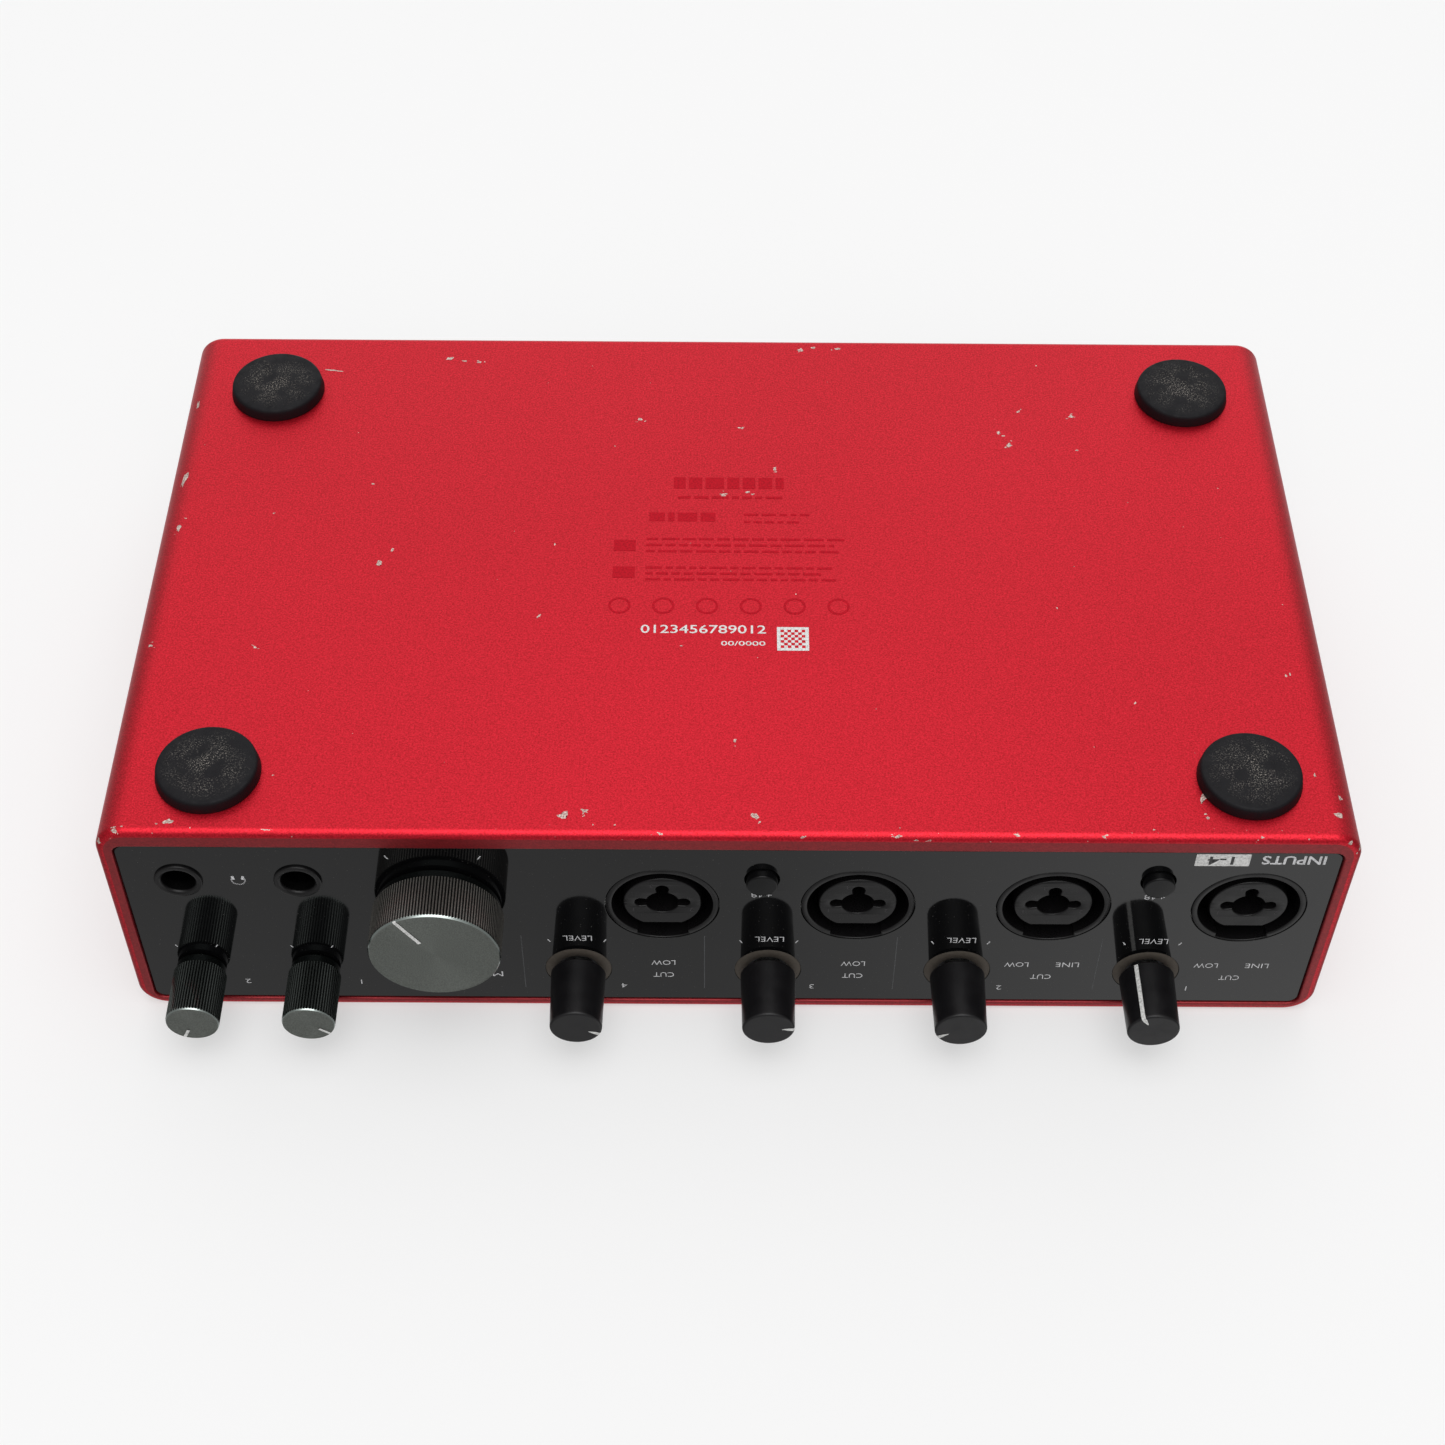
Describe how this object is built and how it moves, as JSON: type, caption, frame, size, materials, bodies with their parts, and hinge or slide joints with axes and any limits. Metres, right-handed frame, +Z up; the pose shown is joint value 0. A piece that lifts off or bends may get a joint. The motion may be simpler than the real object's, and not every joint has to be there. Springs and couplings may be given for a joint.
{
  "type": "audio interface",
  "caption": "Desktop audio interface: red metal sleeve, gloss black front with combo inputs, rotary knobs and headphone sockets, sockets at the back.",
  "frame": {"origin": "on the surface the feet stand on, under the middle of the whole unit", "axes": "+Z up, -Y out of the front panel, +X to the right seen from the front"},
  "size_m": [0.242, 0.1606, 0.0605],
  "materials": {
    "case_red": "fine bead-blasted, red anodised",
    "panel_black": "high gloss black",
    "sheet_steel": "plain zinc-plated sheet",
    "rear_black": "satin black paint",
    "circuit_board": "green solder mask",
    "screw_black": "black oxide",
    "standoff_brass": "plain",
    "foot_rubber": "matt, scuffed",
    "halo_diffuser": "milky light guide",
    "socket_black": "moulded, satin",
    "contact_gold": "gold plated",
    "control_body": "moulded",
    "nut_steel": "nickel plated",
    "white_parts": "matt white",
    "ribbon_grey": "flexible, matt",
    "knob_black": "satin moulded",
    "knob_metal": "dark anodised, knurled side, spun face",
    "shaft_steel": "turned"
  },
  "bodies": {
    "chassis": {"case_sleeve": "case_red", "front_panel": "panel_black", "front_subpanel": "sheet_steel", "rear_panel": "rear_black", "chassis_tray": "sheet_steel", "main_board": "circuit_board", "front_board": "circuit_board", "board_standoffs": "standoff_brass", "board_screws": "nut_steel", "panel_screws": "screw_black", "feet": "foot_rubber", "gain_halo_1": "halo_diffuser", "gain_halo_2": "halo_diffuser", "gain_halo_3": "halo_diffuser", "gain_halo_4": "halo_diffuser", "combo_shell_1": "socket_black", "combo_shell_2": "socket_black", "combo_shell_3": "socket_black", "combo_shell_4": "socket_black", "combo_insert_1": "socket_black", "combo_insert_2": "socket_black", "combo_insert_3": "socket_black", "combo_insert_4": "socket_black", "combo_contacts": "contact_gold", "gain_pots": "control_body", "monitor_pot": "control_body", "monitor_pot_nut": "nut_steel", "headphone_pots": "control_body", "phantom_switches": "control_body", "headphone_jack_1": "socket_black", "headphone_jack_2": "socket_black", "indicator_leds": "white_parts", "ribbon_cable": "ribbon_grey", "dc_inlet": "socket_black", "power_switch_frame": "socket_black", "usb_socket": "nut_steel", "midi_sockets": "socket_black", "coax_sockets": "socket_black", "coax_sleeves": "contact_gold", "optical_socket": "socket_black", "line_jacks": "socket_black", "line_jack_nuts": "nut_steel"},
    "power_switch_rocker": {"power_rocker": "socket_black"},
    "optical_flap": {"optical_shutter": "socket_black"},
    "monitor_dial": {"monitor_knob": "knob_metal", "monitor_shaft": "shaft_steel"},
    "gain_dial_1": {"gain_knob_1": "knob_black", "gain_shaft_1": "shaft_steel"},
    "gain_dial_2": {"gain_knob_2": "knob_black", "gain_shaft_2": "shaft_steel"},
    "gain_dial_3": {"gain_knob_3": "knob_black", "gain_shaft_3": "shaft_steel"},
    "gain_dial_4": {"gain_knob_4": "knob_black", "gain_shaft_4": "shaft_steel"},
    "headphone_dial_1": {"headphone_knob_1": "knob_metal", "headphone_shaft_1": "shaft_steel"},
    "phantom_key_1": {"phantom_button_1": "socket_black"},
    "headphone_dial_2": {"headphone_knob_2": "knob_metal", "headphone_shaft_2": "shaft_steel"},
    "phantom_key_2": {"phantom_button_2": "socket_black"}
  },
  "joints": [
    {"name": "gain_turn_1", "type": "hinge", "parent": "chassis", "child": "gain_dial_1", "pos_m": [-0.085, -0.0657, 0.0473], "axis": [0, 1, 0], "range_deg": [-300, 0]},
    {"name": "gain_turn_2", "type": "hinge", "parent": "chassis", "child": "gain_dial_2", "pos_m": [-0.0466, -0.0657, 0.0473], "axis": [0, 1, 0], "range_deg": [-212, 88]},
    {"name": "gain_turn_3", "type": "hinge", "parent": "chassis", "child": "gain_dial_3", "pos_m": [-0.0082, -0.0657, 0.0473], "axis": [0, 1, 0], "range_deg": [-60, 240]},
    {"name": "gain_turn_4", "type": "hinge", "parent": "chassis", "child": "gain_dial_4", "pos_m": [0.0302, -0.0657, 0.0473], "axis": [0, 1, 0], "range_deg": [-83, 217]},
    {"name": "monitor_turn", "type": "hinge", "parent": "chassis", "child": "monitor_dial", "pos_m": [0.0568, -0.0657, 0.026], "axis": [0, 1, 0], "range_deg": [-298, 2]},
    {"name": "headphone_turn_1", "type": "hinge", "parent": "chassis", "child": "headphone_dial_1", "pos_m": [0.0835, -0.0657, 0.04715], "axis": [0, 1, 0], "range_deg": [-98, 202]},
    {"name": "headphone_turn_2", "type": "hinge", "parent": "chassis", "child": "headphone_dial_2", "pos_m": [0.10665, -0.0657, 0.04715], "axis": [0, 1, 0], "range_deg": [-175, 125]},
    {"name": "phantom_press_1", "type": "slide", "parent": "chassis", "child": "phantom_key_1", "axis": [0, 1, 0], "range_m": [0, 0.0012], "stiffness_N_per_m": 700, "springref_m": -0.0008},
    {"name": "phantom_press_2", "type": "slide", "parent": "chassis", "child": "phantom_key_2", "axis": [0, 1, 0], "range_m": [0, 0.0012], "stiffness_N_per_m": 700, "springref_m": -0.0008},
    {"name": "power_rock", "type": "hinge", "parent": "chassis", "child": "power_switch_rocker", "pos_m": [0.099, 0.0731, 0.031], "axis": [1, 0, 0], "range_deg": [-20, 0]},
    {"name": "optical_flap_swing", "type": "hinge", "parent": "chassis", "child": "optical_flap", "pos_m": [-0.006, 0.0718, 0.0346], "axis": [-1, 0, 0], "range_deg": [0, 80], "stiffness_Nm_per_rad": 0.0004, "springref_deg": -17.19}
  ]
}
